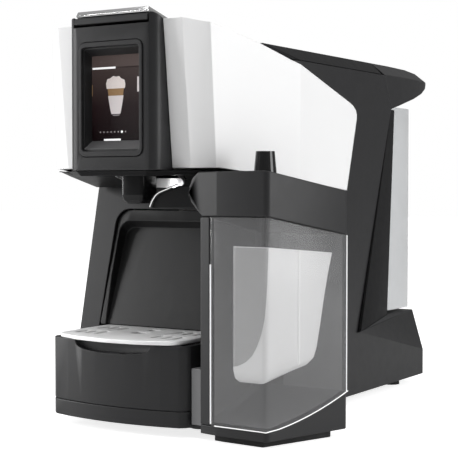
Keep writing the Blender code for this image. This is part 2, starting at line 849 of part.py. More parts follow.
def milk_outline(inset=0.0, left=MILK_LEFT, back=MILK_BACK_Y):
    """The milk unit's plan: a nearly straight front and a right side that runs out backwards."""
    start = left + inset
    kink = max(96.0, start + 4.0)
    points = [
        (start, -4.5 + inset + 0.16 * (kink - start)),
        (kink, -4.5 + inset),
        (141.2 - inset, -6.3 + inset),
        (166.5 - inset * 1.05, back - inset),
        (start, back - inset),
    ]
    return rounded(points, [1.5, 10.0, max(5.0 - inset, 2.0), 3.0, 1.5], steps=4)


def milk_ramp(offset, top=320.0):
    """Side view of everything above the milk base's rising upper edge."""
    curve = [(y, 13.3 + 0.14 * y + 0.002 * y * y + offset) for y in range(0, 91, 15)]
    return [(-30.0, 12.6 + offset), (0.0, 12.9 + offset)] + curve[1:] + [(90.0, top), (-30.0, top)]


def lid_plane(y, z_front):
    return z_front + MILK_LID_SLOPE * (y + 6.0)


def below_lid(z_front):
    return [
        (-40.0, lid_plane(-40.0, z_front)), (100.0, lid_plane(100.0, z_front)), (100.0, -20.0),
        (-40.0, -20.0),
    ]


def build_milk_unit():
    base = part("milk_base", slab(milk_outline(), "Z", 6.0, 60.0), "black_satin")
    cut(base, slab(milk_ramp(0.0), "X", 0.0, FAR), slab(milk_outline(3.0), "Z", -10.0, 9.4))
    part("milk_foot", slab(milk_outline(3.4 + 5.0), "Z", 0.0, 5.7), "rubber")
    frame = part("milk_frame", slab(milk_outline(), "Z", 8.0, 171.8), "black_satin")
    trim(frame, slab(milk_ramp(GAP), "X", 0.0, FAR), slab(below_lid(172.2), "X", 0.0, FAR))
    cut(frame, box(88.4, 200.0, -30.0, 100.0, 0.0, 200.0), box(81.6, 100.0, 4.0, 100.0, 0.0, 200.0))
    jacket = part("milk_jacket", slab(milk_outline(0.0, left=88.8), "Z", 8.0, 171.8), "clear")
    trim(jacket, slab(milk_ramp(GAP), "X", 0.0, FAR), slab(below_lid(172.2), "X", 0.0, FAR))
    hollow = operand("jacket_hollow", slab(milk_outline(2.2, left=88.8), "Z", 8.0, 220.0))
    combine(hollow, slab(milk_ramp(GAP + 2.4), "X", 0.0, FAR), "INTERSECT")
    cut(jacket, evaluated(hollow))
    build_milk_vessel()
    build_milk_lid()


def vessel_ring(z, inset):
    return [(x, y, z) for x, y in milk_outline(inset, left=88.8)]


def build_milk_vessel():
    vessel = part(
        "milk_vessel",
        loft(
            [
                vessel_ring(58.0, 17.0),
                vessel_ring(60.0, 13.0),
                vessel_ring(66.0, 9.5),
                vessel_ring(80.0, 8.0),
                vessel_ring(150.0, 5.0),
            ]
        ),
        "frosted",
    )
    cut(
        vessel,
        loft(
            [
                vessel_ring(60.0, 17.5),
                vessel_ring(62.0, 14.4),
                vessel_ring(67.5, 11.2),
                vessel_ring(81.0, 9.6),
                vessel_ring(160.0, 6.4),
            ]
        ),
    )


def build_milk_lid():
    outline = milk_outline(0.0, left=66.6)
    lid = part("milk_lid", slab(outline, "Z", 140.0, 215.0), "black_satin")
    trim(lid, slab(below_lid(206.7), "X", 0.0, FAR))
    low = [(y, z) for y, z in below_lid(172.7)]
    cut(lid, slab(low, "X", 0.0, FAR))
    nose = [
        (60.0, 215.0), (88.0, 215.0), (84.7, 207.3), (77.1, 206.0), (71.0, 201.1), (68.1, 195.6),
        (67.1, 189.6), (69.8, 183.0), (75.6, 176.9), (80.1, 172.5), (88.0, 150.0), (60.0, 150.0),
    ]
    cut(lid, slab(nose, "Y", -40.0, 100.0))
    inner = operand("lid_hollow", slab(milk_outline(2.6, left=82.0), "Z", 100.0, 215.0))
    combine(inner, slab(below_lid(203.4), "X", 0.0, FAR), "INTERSECT")
    cut(lid, evaluated(inner))
    x, y = KNOB_AT
    join(lid, rod(KNOB_AT, "Z", 198.0, 203.2, 10.5))
    cut(
        lid,
        rod(KNOB_AT, "Z", 180.0, 230.0, 3.4, sides=24),
        rod((96.0, 182.0), "Y", 60.0, 90.0, 4.4, sides=24),
    )
    knob = part(
        "froth_knob",
        rod(KNOB_AT, "Z", 203.6, 221.8, 9.0, 7.3, sides=24),
        "black_gloss",
        (x, y, 203.6),
    )
    join(knob, rod(KNOB_AT, "Z", 196.0, 205.0, 3.0, sides=24))
    tube("milk_tube", [(x, y, 195.4), (x, y, 120.0), (x, y, 66.0)], 2.6, "clear")
    arm = rounded(
        [
            (17.6, 177.6), (74.0, 177.6), (69.2, 183.2), (66.6, 189.6), (67.4, 195.4),
            (44.0, 195.4), (35.0, 192.2), (25.4, 188.6), (20.6, 183.6),
        ],
        [1, 0, 0, 0, 0, 8, 8, 4, 3],
    )
    milk_arm = part("milk_arm", slab(arm, "Y", 19.5, 33.5), "black_satin")
    cut(milk_arm, rod((24.6, 26.0), "Z", 170.0, 184.0, 2.6, sides=16))
    edge = [(17.4, 178.4), (20.2, 184.0), (25.2, 189.4), (35.0, 193.2), (44.0, 196.6)]
    trim_points = smooth_path([(u, 18.4, z) for u, z in edge], 4)
    tube("arm_trim", trim_points, 0.8, "chrome", 1)


# ---------------------------------------------------------------- water tank


def tank_outline(inset):
    return rounded(
        rectangle(-SHOULDER + inset, SHOULDER - inset, TANK_FRONT_Y + inset, TANK_BACK_Y - inset),
        max(6.0 - inset, 2.0),
    )


def build_water_tank():
    tank = part("water_tank", slab(tank_outline(0.0), "Z", TANK_BOTTOM, TANK_TOP), "clear")
    cut(tank, slab(tank_outline(2.2), "Z", TANK_BOTTOM + 2.5, TANK_TOP + 20.0))
    join(tank, rod(VALVE_AT, "Z", 68.0, 77.0, 9.0))
    cut(tank, rod(VALVE_AT, "Z", 60.0, 80.0, 4.2, sides=24))
    valve = part("tank_valve", rod(VALVE_AT, "Z", 71.0, 79.0, 3.7, sides=24), "nylon", (*VALVE_AT, 77.8))
    join(valve, rod(VALVE_AT, "Z", 77.8, 80.2, 7.0, sides=24))
    socket = part("tank_socket", rod(VALVE_AT, "Z", 58.0, 72.0, 14.0), "rubber")
    cut(socket, rod(VALVE_AT, "Z", 62.0, 90.0, 9.4), rod(VALVE_AT, "Z", 40.0, 70.0, 3.0, sides=16))
    build_tank_lid()


def lid_ring(y, half, low, crease, shoulder, top, inset=0.0, reach=0.0):
    half -= inset
    shoulder -= inset * 0.8
    points = [(half, low + reach), (half, crease), (shoulder, top - inset)]
    return [(x, y(z) if callable(y) else y, z) for x, z in points + [(-x, z) for x, z in reversed(points)]]


def build_tank_lid():
    sections = [
        (300.0, HALF, 271.0, CREASE_Z + 0.5, SHOULDER, ROOF_Z),
        (340.0, 103.5, 280.0, CREASE_Z + 0.8, SHOULDER - 0.5, 308.8),
        (364.0, 101.0, 286.5, CREASE_Z + 1.0, 93.0, 307.0),
        (378.0, 98.5, 292.0, CREASE_Z + 1.2, 91.5, 304.2),
        (384.0, 96.5, 296.5, CREASE_Z + 1.3, 90.5, 301.2),
    ]

    def front(z):
        return nose_y(z) + GAP * 1.2

    outer = [
        lid_ring(front, HALF, 267.2, CREASE_Z + GAP, SHOULDER, ROOF_Z)
    ] + [lid_ring(*row) for row in sections]
    lid = part("tank_lid", loft(outer), "black_satin")
    inner = [lid_ring(front(285.0) + 10.0, HALF, 255.0, CREASE_Z - 1.0, SHOULDER, ROOF_Z, 2.6)]
    inner += [
        lid_ring(y, half, low, crease - 1.0, shoulder, top, 2.6, -16.0)
        for y, half, low, crease, shoulder, top in sections[:3]
    ]
    cut(lid, loft(inner))


# ---------------------------------------------------------------- inside the body


def build_works():
    pump = part("pump", rod((208.0, 34.0), "X", -60.0, 0.0, 19.0), "steel")
    join(
        pump,
        rod((208.0, 34.0), "X", -74.0, -59.0, 9.0, sides=24),
        rod((208.0, 34.0), "X", -1.0, 12.0, 7.0, sides=24),
    )
    part("flow_meter", rod((52.0, 262.0), "Z", 16.0, 32.0, 14.0, sides=24), "nylon")
    boiler = part("thermoblock", box(-52.0, 52.0, 196.0, 254.0, 150.0, 192.0), "steel")
    round_edges(boiler, 4.0, 2)
    part("main_board", box(-97.0, -95.4, 150.0, 222.0, 92.0, 190.0), "board")
    tube(
        "suction_hose",
        smooth_path(
            [
                (0.0, 327.0, 57.5), (2.0, 322.0, 46.0), (20.0, 296.0, 36.0), (46.0, 288.0, 26.0),
                (51.6, 282.0, 24.2), (52.0, 277.0, 24.0),
            ]
        ),
        2.8,
        "nylon",
    )
    tube(
        "pump_hose",
        smooth_path(
            [
                (37.0, 262.0, 24.0), (32.0, 261.0, 24.2), (25.0, 236.0, 31.0), (22.0, 212.0, 34.0),
                (18.0, 208.2, 34.0), (12.9, 208.0, 34.0),
            ]
        ),
        2.8,
        "nylon",
    )
    tube(
        "pressure_hose",
        smooth_path(
            [
                (-74.9, 208.0, 34.0), (-80.0, 208.6, 34.6), (-85.0, 222.0, 54.0),
                (-84.0, 230.0, 110.0), (-70.0, 228.5, 164.0), (-58.0, 228.0, 170.0),
                (-53.0, 228.0, 170.0),
            ]
        ),
        2.8,
        "nylon",
    )
    tube(
        "brew_hose",
        smooth_path(
            [
                (0.0, 225.0, 193.0), (0.0, 224.0, 200.0), (0.0, 214.0, 224.0), (0.0, 190.0, 246.0),
                (0.0, 160.0, 250.0), (0.0, 152.0, 250.0),
            ]
        ),
        2.8,
        "nylon",
    )
    tube(
        "steam_hose",
        smooth_path(
            [
                (53.0, 220.0, 172.0), (58.0, 220.0, 172.0), (76.0, 204.0, 175.0),
                (90.0, 160.0, 180.0), (95.5, 122.0, 181.4), (96.0, 112.0, 182.0),
            ]
        ),
        2.8,
        "nylon",
    )
    build_dock()
    build_power()


def build_dock():
    """A block on the right pillar that squares it off for the milk unit, and its steam nozzle."""
    side = [
        (MILK_BACK_Y + 0.6, 96.0), (pillar_y(96.0) - GAP, 96.0), (pillar_y(190.0) - GAP, 190.0),
        (MILK_BACK_Y + 16.0, 190.0), (MILK_BACK_Y + 0.6, 176.0),
    ]
    block = part("dock_block", slab(side, "X", 86.0, 105.0), "black_satin")
    cut(block, rod((96.0, 182.0), "Y", 60.0, 130.0, 4.6, sides=24))


def build_power():
    inlet = part("power_inlet", box(-62.0, -28.0, 336.0, 360.2, 20.0, 46.0), "black_satin")
    cut(inlet, box(-57.0, -33.0, 343.0, 370.0, 24.5, 41.5))
    for x, z in ((-52.0, 31.0), (-45.0, 35.0), (-38.0, 31.0)):
        join(inlet, box(x - 1.0, x + 1.0, 342.0, 356.0, z - 2.0, z + 2.0))
    rocker = [
        (349.0, 24.0), (359.6, 23.6), (361.4, 24.2), (359.8, 32.0), (359.2, 40.4), (357.6, 41.0),
        (349.0, 40.0),
    ]
    part("power_switch", slab(rocker, "X", 31.0, 49.0), "black_gloss", (40.0, 352.0, 32.0))


build_housing()
build_casing()
build_roof()
build_belly()
build_niche()
build_base()
build_module()
build_lid()
build_brewing()
build_spout()
build_drawer()
build_milk_unit()
build_water_tank()
build_works()
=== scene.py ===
"""Looks of the pod coffee machine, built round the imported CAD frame.

Positions are design millimetres (X = 0 on the brewing axis, Y from front to back, Z up) and are
turned into the row frame's metres when a piece is made.
"""

import json
import math

import bmesh
import bpy
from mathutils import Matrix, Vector


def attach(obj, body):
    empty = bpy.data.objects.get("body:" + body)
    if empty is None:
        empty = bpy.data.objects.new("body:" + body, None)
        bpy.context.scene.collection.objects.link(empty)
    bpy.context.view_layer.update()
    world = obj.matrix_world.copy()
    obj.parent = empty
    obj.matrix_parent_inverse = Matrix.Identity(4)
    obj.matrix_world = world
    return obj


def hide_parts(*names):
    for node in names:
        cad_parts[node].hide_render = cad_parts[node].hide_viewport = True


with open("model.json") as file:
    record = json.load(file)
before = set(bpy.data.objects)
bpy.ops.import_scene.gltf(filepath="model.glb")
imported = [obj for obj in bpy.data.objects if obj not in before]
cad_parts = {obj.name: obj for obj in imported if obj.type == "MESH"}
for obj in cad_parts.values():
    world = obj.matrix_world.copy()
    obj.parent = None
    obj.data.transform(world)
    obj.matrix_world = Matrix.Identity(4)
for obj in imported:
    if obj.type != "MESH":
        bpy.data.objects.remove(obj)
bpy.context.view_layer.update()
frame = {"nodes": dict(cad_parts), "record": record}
NODES = frame["nodes"]
BODIES = frame["record"]["behaviour"]["bodies"]
BODY_OF = {node: body for body, members in BODIES.items() for node in members}

MM = 0.001
CENTRE_X = 29.8
CENTRE_Y = 182.9
WELD = 2e-5  # metres between points taken as one
FLAT_DEGREES = 1.2  # faces this close to one plane are joined
DISPLAY_Y = 2.38  # front of the shapes drawn on the display
DISPLAY_LOW = 232.0  # heights between which the backdrop brightens
DISPLAY_HIGH = 292.0
CAMERA_AT = (0.5767, -0.9776, 0.196)
CAMERA_AZIMUTH = math.radians(32.3)
CAMERA_PITCH = math.radians(2.016)
FLOOR_HALF = 6.0  # metres


def place(x, y, z):
    return Vector(((x - CENTRE_X) * MM, (y - CENTRE_Y) * MM, z * MM))


# ---------------------------------------------------------------- materials


def surface(
    name,
    colour,
    roughness,
    metallic=0.0,
    variation=0.08,
    scale=60.0,
    grain=0.0,
    grain_scale=1800.0,
    roughness_spread=0.06,
    **sockets,
):
    """A Principled material whose tone, gloss and fine relief vary over the surface."""
    material = bpy.data.materials.new(name)
    material.use_nodes = True
    nodes = material.node_tree.nodes
    links = material.node_tree.links
    shader = nodes["Principled BSDF"]
    coordinates = nodes.new("ShaderNodeTexCoord")

    def noise(frequency, detail):
        texture = nodes.new("ShaderNodeTexNoise")
        texture.inputs["Scale"].default_value = frequency
        texture.inputs["Detail"].default_value = detail
        links.new(coordinates.outputs["Object"], texture.inputs["Vector"])
        return texture.outputs["Fac"]

    tone = nodes.new("ShaderNodeMix")
    tone.data_type = "RGBA"
    tone.inputs["A"].default_value = (*[c * (1 - variation) for c in colour], 1.0)
    tone.inputs["B"].default_value = (*[min(c * (1 + variation), 1.0) for c in colour], 1.0)
    links.new(noise(scale, 4.0), tone.inputs["Factor"])
    links.new(tone.outputs["Result"], shader.inputs["Base Color"])
    spread = nodes.new("ShaderNodeMapRange")
    spread.inputs["To Min"].default_value = max(roughness - roughness_spread, 0.02)
    spread.inputs["To Max"].default_value = roughness + roughness_spread
    links.new(noise(scale * 2.3, 3.0), spread.inputs["Value"])
    links.new(spread.outputs["Result"], shader.inputs["Roughness"])
    shader.inputs["Metallic"].default_value = metallic
    if grain:
        bump = nodes.new("ShaderNodeBump")
        bump.inputs["Strength"].default_value = grain
        bump.inputs["Distance"].default_value = 0.0001
        links.new(noise(grain_scale, 2.0), bump.inputs["Height"])
        links.new(bump.outputs["Normal"], shader.inputs["Normal"])
    for socket, value in sockets.items():
        shader.inputs[socket.replace("_", " ")].default_value = value
    return material


SATIN = surface("satin_black", (0.019, 0.019, 0.02), 0.4, grain=0.3, Specular_IOR_Level=0.3)
PANEL = surface("moulded_black", (0.014, 0.014, 0.0145), 0.34, grain=0.3, Specular_IOR_Level=0.35)
# A darker, nearly unreflecting copy of the black plastic: painted shade wherever it is used.
SHADE = surface("shaded_black", (0.009, 0.009, 0.0095), 0.4, grain=0.3, Specular_IOR_Level=0.08)
SHEEN = surface(
    "polished_black", (0.009, 0.009, 0.0095), 0.2, roughness_spread=0.03, Specular_IOR_Level=0.22
)
GLOSS = surface(
    "gloss_black",
    (0.007, 0.007, 0.0075),
    0.16,
    roughness_spread=0.03,
    Specular_IOR_Level=0.45,
    Coat_Weight=0.2,
    Coat_Roughness=0.05,
)
WHITE = surface(
    "gloss_white",
    (0.86, 0.86, 0.862),
    0.3,
    variation=0.006,
    scale=25.0,
    roughness_spread=0.012,
    Specular_IOR_Level=0.3,
)
CHROME = surface("bright_chrome", (0.86, 0.86, 0.86), 0.16, 1.0, variation=0.03, roughness_spread=0.03)
STEEL = surface(
    "satin_steel", (0.95, 0.95, 0.95), 0.5, 0.35, variation=0.06, scale=120.0, grain=0.3, grain_scale=900.0
)
MIRROR = surface("silvered_plastic", (0.93, 0.93, 0.93), 0.34, 1.0, variation=0.03)
GREY = surface("grey_plastic", (0.2, 0.2, 0.205), 0.5, grain=0.4)
RUBBER = surface("soft_rubber", (0.016, 0.016, 0.016), 0.75, grain=0.6, grain_scale=900.0)
NYLON = surface("natural_nylon", (0.52, 0.51, 0.48), 0.5, grain=0.3)
BOARD = surface("green_board", (0.02, 0.12, 0.05), 0.4, variation=0.25, scale=300.0)
ALUMINIUM = surface(
    "cast_aluminium", (0.6, 0.6, 0.6), 0.42, 1.0, variation=0.12, scale=200.0, grain=0.8, grain_scale=700.0
)
JACKET = surface("smoky_clear", (0.32, 0.32, 0.325), 0.1, variation=0.05, roughness_spread=0.02, Alpha=0.22)
# The vessel glows faintly: painted light on its walls.
VESSEL = surface(
    "milky_clear_painted_glow",
    (0.95, 0.95, 0.955),
    0.3,
    variation=0.02,
    Alpha=0.97,
    Emission_Color=(1.0, 1.0, 1.0, 1.0),
    Emission_Strength=0.12,
)
# Glowing white beads: painted highlights along the milk unit's edges.
EDGE_HIGHLIGHT = surface(
    "painted_edge_highlight",
    (0.95, 0.95, 0.95),
    0.15,
    variation=0.02,
    Alpha=0.9,
    Emission_Color=(1.0, 1.0, 1.0, 1.0),
    Emission_Strength=0.25,
)
# Smoky grey sheet in front of the vessel: painted shade.
FRONT_SHADE_PAINT = surface("vessel_front_painted_shade", (0.12, 0.12, 0.12), 0.3, variation=0.1, scale=20.0, Alpha=0.2)
# Grey for the screen recess's floor: painted light from above.
RECESS_LIGHT_PAINT = surface("recess_floor_lit_paint", (0.085, 0.085, 0.087), 0.35, grain=0.2)
WATER = surface("tinted_clear", (0.66, 0.67, 0.68), 0.1, variation=0.04, roughness_spread=0.03, Alpha=0.8)
CLEAR = surface(
    "clear_cover",
    (0.02, 0.02, 0.02),
    0.12,
    variation=0.05,
    roughness_spread=0.02,
    Alpha=0.06,
    Specular_IOR_Level=0.2,
)


def display_colour(name, colour, strength, variation=0.04):
    """A lit part of the display: mostly its own light, with a fine pixel grain."""
    return surface(
        name,
        colour,
        0.35,
        variation=variation,
        scale=900.0,
        Specular_IOR_Level=0.1,
        Emission_Color=(*colour, 1.0),
        Emission_Strength=strength,
    )


PICTURE_TOP = display_colour("picture_tab", (0.06, 0.045, 0.042), 0.9)
PICTURE_WHITE = display_colour("picture_white", (0.9, 0.9, 0.9), 0.9)
PICTURE_FOAM = display_colour("picture_foam", (0.62, 0.56, 0.54), 0.6, 0.12)
PICTURE_MILK = display_colour("picture_milk", (0.55, 0.51, 0.51), 0.6, 0.06)
PICTURE_COFFEE = display_colour("picture_coffee", (0.26, 0.16, 0.08), 0.5, 0.15)
PICTURE_DIM = display_colour("picture_dim", (0.3, 0.28, 0.28), 0.8)
PICTURE_LINE = display_colour("picture_line", (0.03, 0.02, 0.02), 0.4)


def graded_display():
    """The display's backdrop: a brown that darkens downwards."""
    material = surface("picture_backdrop", (0.008, 0.006, 0.006), 0.4, Specular_IOR_Level=0.1)
    nodes = material.node_tree.nodes
    links = material.node_tree.links
    coordinates = nodes.new("ShaderNodeTexCoord")
    split = nodes.new("ShaderNodeSeparateXYZ")
    links.new(coordinates.outputs["Object"], split.inputs["Vector"])
    height = nodes.new("ShaderNodeMapRange")
    height.inputs["From Min"].default_value = DISPLAY_LOW * MM
    height.inputs["From Max"].default_value = DISPLAY_HIGH * MM
    links.new(split.outputs["Z"], height.inputs["Value"])
    ramp = nodes.new("ShaderNodeValToRGB")
    ramp.color_ramp.elements[0].color = (0.003, 0.001, 0.0015, 1)
    ramp.color_ramp.elements[1].color = (0.06, 0.043, 0.04, 1)
    middle = ramp.color_ramp.elements.new(0.45)
    middle.color = (0.014, 0.007, 0.008, 1)
    links.new(height.outputs["Result"], ramp.inputs["Fac"])
    shader = nodes["Principled BSDF"]
    links.new(ramp.outputs["Color"], shader.inputs["Emission Color"])
    shader.inputs["Emission Strength"].default_value = 0.85
    return material


SCREEN = graded_display()


# ---------------------------------------------------------------- piece helpers


def finish_piece(obj, body, material):
    obj.data.materials.clear()
    obj.data.materials.append(material)
    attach(obj, body)
    return obj


def link(name, mesh):
    obj = bpy.data.objects.new(name, mesh)
    bpy.context.scene.collection.objects.link(obj)
    return obj


def smooth(mesh, angle=30.0):
    for polygon in mesh.polygons:
        polygon.use_smooth = True
    mesh.set_sharp_from_angle(angle=math.radians(angle))


def soften(obj, width, segments, angle=30.0):
    bevel = obj.modifiers.new("Bevel", "BEVEL")
    bevel.width = width * MM
    bevel.segments = segments
    bevel.limit_method = "ANGLE"
    bevel.angle_limit = math.radians(angle)
    bevel.use_clamp_overlap = False
    bevel.miter_outer = "MITER_ARC"
    bevel.harden_normals = True


def refined(node, material, width=0.6, segments=3, angle=28.0):
    """The CAD node's shape with clean faces and softened edges."""
    bm = bmesh.new()
    bm.from_mesh(NODES[node].data)
    bmesh.ops.remove_doubles(bm, verts=bm.verts, dist=WELD)
    if node not in PIERCED:
        flat = math.radians(FLAT_DEGREES)
        bmesh.ops.dissolve_limit(bm, angle_limit=flat, verts=bm.verts, edges=bm.edges)
    mesh = bpy.data.meshes.new(f"{node}_look")
    bm.to_mesh(mesh)
    bm.free()
    smooth(mesh, angle)
    obj = link(f"{node}_look", mesh)
    if width:
        soften(obj, width, segments, angle)
    finish_piece(obj, BODY_OF[node], material)
    # Faces picked by the test get a second material that paints light or shade on them.
    if node in SHADING_PAINTS:
        test, shading_paint = SHADING_PAINTS[node]
        mesh.materials.append(shading_paint)
        for polygon in mesh.polygons:
            polygon.material_index = int(test(polygon))
    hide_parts(node)
    return obj


def fold_in_painted_shade(polygon):
    """The column's sides behind their crease, which turn in towards the back and are painted with shade."""
    normal = polygon.normal
    return abs(normal.x) > 0.5 and 0.08 < normal.y < 0.7 and polygon.center.z > 60 * MM


def lit_recess_floor(polygon):
    """The screen recess's sloping floor, painted lighter as if light falls on it from above."""
    height = polygon.center.z / MM
    across = abs(polygon.center.x / MM + CENTRE_X)
    return polygon.normal.z > 0.5 and 222.0 < height < 240.0 and across < 28.0


PIERCED = {"drip_grid"}
# Faces painted with shade (the column's inward fold) or with light (the recess floor).
SHADING_PAINTS = {"rear_housing": (fold_in_painted_shade, SHADE), "screen_module": (lit_recess_floor, RECESS_LIGHT_PAINT)}


def paint(node, material):
    """A CAD node that keeps its shape and gets a better material."""
    obj = NODES[node]
    obj.data.materials.clear()
    obj.data.materials.append(material)


def flat_shape(name, points, y, material, depth=0.03):
    """A thin plate facing the front, from its outline in X and Z."""
    bm = bmesh.new()
    face = bm.faces.new([bm.verts.new(place(x, y, z)) for x, z in points])
    face.normal_update()
    if face.normal.y > 0:
        face.normal_flip()
    extruded = bmesh.ops.extrude_face_region(bm, geom=[face])
    moved = [element for element in extruded["geom"] if isinstance(element, bmesh.types.BMVert)]
    bmesh.ops.translate(bm, verts=moved, vec=(0, depth * MM, 0))
    bmesh.ops.recalc_face_normals(bm, faces=bm.faces)
    mesh = bpy.data.meshes.new(name)
    bm.to_mesh(mesh)
    bm.free()
    return finish_piece(link(name, mesh), "machine", material)


def disc(x, z, radius, steps=20):
    turn = 2 * math.pi / steps
    return [(x + radius * math.cos(k * turn), z + radius * math.sin(k * turn)) for k in range(steps)]


def bar(x0, x1, z0, z1):
    return [(x0, z0), (x1, z0), (x1, z1), (x0, z1)]


def strip(name, points, radius, material, body, slot):
    """A thin round bead along a line, used for the painted highlights."""
    curve = bpy.data.curves.new(f"{name}_line", "CURVE")
    curve.dimensions = "3D"
    curve.bevel_depth = radius * MM
    curve.bevel_resolution = 3
    curve.use_fill_caps = True
    line = curve.splines.new("POLY")
    line.points.add(len(points) - 1)
    for target, point in zip(line.points, points):
        target.co = (*place(*point), 1.0)
    holder = bpy.data.objects.new(f"{name}_line", curve)
    mesh = bpy.data.meshes.new_from_object(holder)
    mesh.name = name
    bpy.data.objects.remove(holder)
    smooth(mesh, 60.0)
    return finish_piece(link(name, mesh), body, material)


REFINED = {
    "rear_housing": (SATIN, 0.7),
    "white_casing": (WHITE, 0.6),
    # Roof and belly covers wear the shaded black: painted shade.
    "roof_cover": (SHADE, 0.6),
    "belly_cover": (SHADE, 0.8),
    "niche_panel": (PANEL, 0.8),
    "screen_module": (SATIN, 0.6),
    "screen_ring": (SATIN, 0.5),
    "pod_lid": (SATIN, 0.8),
    "lid_chrome_plate": (CHROME, 0.5),
    "coffee_spout": (SHEEN, 0.8),
    "drip_drawer": (SATIN, 0.7),
    "drip_grid": (STEEL, 0.9),
    "milk_base": (SATIN, 0.6),
    "milk_foot": (RUBBER, 0.5),
    "milk_frame": (SATIN, 0.6),
    "milk_jacket": (JACKET, 0.5),
    "milk_lid": (SATIN, 1.0),
    # Milk arm wears the shaded black: painted shade.
    "milk_arm": (SHADE, 0.8),
    "dock_rail": (GREY, 0.6),
    "dock_block": (SATIN, 0.8),
    "water_tank": (WATER, 0.6),
    "tank_lid": (SATIN, 0.8),
    "power_inlet": (SATIN, 0.5),
    "power_switch": (GLOSS, 0.5),
}
PAINTED = {
    "display_glass": CLEAR,
    "display_panel": SCREEN,
    "control_board": BOARD,
    "main_board": BOARD,
    "brew_frame": NYLON,
    "pod_holder": NYLON,
    "brew_piston": NYLON,
    "piston_guide": NYLON,
    "pod_chute": NYLON,
    "lid_pin": STEEL,
    "bottom_plate": PANEL,
    "foot_front_left": RUBBER,
    "foot_front_right": RUBBER,
    "foot_rear_left": RUBBER,
    "foot_rear_right": RUBBER,
    "pod_bin": GREY,
    # Milk tube wears the shaded black: painted shade.
    "milk_tube": SHADE,
    "arm_trim": CHROME,
    "froth_knob": GLOSS,
    "tank_valve": NYLON,
    "tank_socket": RUBBER,
    "pump": STEEL,
    "flow_meter": NYLON,
    "thermoblock": ALUMINIUM,
    "suction_hose": NYLON,
    "pump_hose": NYLON,
    "pressure_hose": NYLON,
    "brew_hose": NYLON,
    "steam_hose": NYLON,
}
for node, (material, width) in REFINED.items():
    refined(node, material, width)
for node, material in PAINTED.items():
    paint(node, material)


# ---------------------------------------------------------------- picture on the display


LATTE_BOTTOM = 252.6
LATTE_COFFEE = 267.2  # where the coffee starts
LATTE_FOAM = 272.9
LATTE_RIM = 277.4


def latte_side(z):
    """Half the width of the glass at a height."""
    narrow, wide = 4.4, 9.4
    share = (z - LATTE_BOTTOM) / (LATTE_RIM - LATTE_BOTTOM)
    return narrow + (wide - narrow) * share**0.8


def glass_band(x, low, high, inset=0.0, steps=5):
    heights = [low + (high - low) * k / steps for k in range(steps + 1)]
    left = [(x - latte_side(z) + inset, z) for z in heights]
    return left + [(2 * x - px, z) for px, z in reversed(left)]


def foam_outline(x):
    """The billowed top of the milk foam."""
    puffs = [(9.0, 272.8), (9.6, 276.0), (8.8, 279.4), (5.2, 280.8), (3.6, 282.6), (0.2, 282.2)]
    puffs += [(-2.4, 283.0), (-5.4, 281.2), (-8.4, 280.6), (-9.7, 277.0), (-9.0, 272.8)]
    return [(x + px, z) for px, z in puffs]


def build_latte(x):
    """A tall glass of milk, coffee and foam."""
    milk = glass_band(x, LATTE_BOTTOM, LATTE_COFFEE)
    coffee = glass_band(x, LATTE_COFFEE, LATTE_FOAM, 0.5)
    flat_shape("latte_glass_milk", milk, DISPLAY_Y, PICTURE_MILK)
    flat_shape("latte_glass_coffee", coffee, DISPLAY_Y, PICTURE_COFFEE)
    flat_shape("latte_glass_foam", foam_outline(x), DISPLAY_Y, PICTURE_FOAM)
    flat_shape("latte_glass_foot", bar(x - 3.0, x + 3.6, 251.4, 251.9), DISPLAY_Y, PICTURE_DIM)


def build_page_dots(count=8, current=6):
    for k in range(count):
        lit = k == current
        outline = disc(-19.8 + 3.6 * k, 238.4, 1.0 if lit else 0.6, 14)
        flat_shape(f"page_dot_{k}", outline, DISPLAY_Y, PICTURE_WHITE if lit else PICTURE_DIM)


def build_picture():
    flat_shape("picture_tab_bar", bar(-28.6, 28.6, 290.2, 301.0), DISPLAY_Y + 0.06, PICTURE_TOP)
    flat_shape("picture_rule", bar(-28.6, 28.6, 289.0, 289.9), DISPLAY_Y + 0.05, PICTURE_LINE)
    flat_shape("picture_underline", bar(-27.6, -4.4, 288.8, 290.3), DISPLAY_Y + 0.02, PICTURE_WHITE)
    build_latte(-4.2)
    flat_shape("cup_left", disc(-27.6, 272.0, 4.6)[5:16], DISPLAY_Y, PICTURE_COFFEE)
    flat_shape("cup_right", bar(17.0, 23.0, 269.6, 281.4), DISPLAY_Y, PICTURE_MILK)
    build_page_dots()
    flat_shape("picture_home_bar", bar(-16.2, 0.6, 231.4, 232.9), DISPLAY_Y, PICTURE_WHITE)


# ---------------------------------------------------------------- silver bowl behind the spout


def build_reflector():
    """A shallow silvered half bowl whose lower edge dips in the middle."""
    steps = 28
    centre_y = 36.4
    across, along, wall = 32.2, 31.6, 0.8
    rim, shallow, deep = 203.9, 0.1, 10.2
    rows = []
    for k in range(steps + 1):
        angle = math.pi * k / steps
        right, back = math.cos(angle), math.sin(angle)
        low = rim - shallow - deep * back**0.85
        outer = (across * right, centre_y + along * back)
        inner = ((across - wall) * right, centre_y + (along - wall) * back)
        rows.append([(*outer, rim), (*outer, low), (*inner, low), (*inner, rim)])
    bm = bmesh.new()
    rings = [[bm.verts.new(place(*point)) for point in row] for row in rows]
    for a, b in zip(rings, rings[1:]):
        for k in range(4):
            bm.faces.new((a[k], a[(k + 1) % 4], b[(k + 1) % 4], b[k]))
    bm.faces.new(rings[0])
    bm.faces.new(list(reversed(rings[-1])))
    bmesh.ops.recalc_face_normals(bm, faces=bm.faces)
    mesh = bpy.data.meshes.new("reflector_bowl")
    bm.to_mesh(mesh)
    bm.free()
    smooth(mesh, 50.0)
    bowl = finish_piece(link("reflector_bowl", mesh), "machine", MIRROR)
    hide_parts("spout_reflector")


# ---------------------------------------------------------------- milk vessel


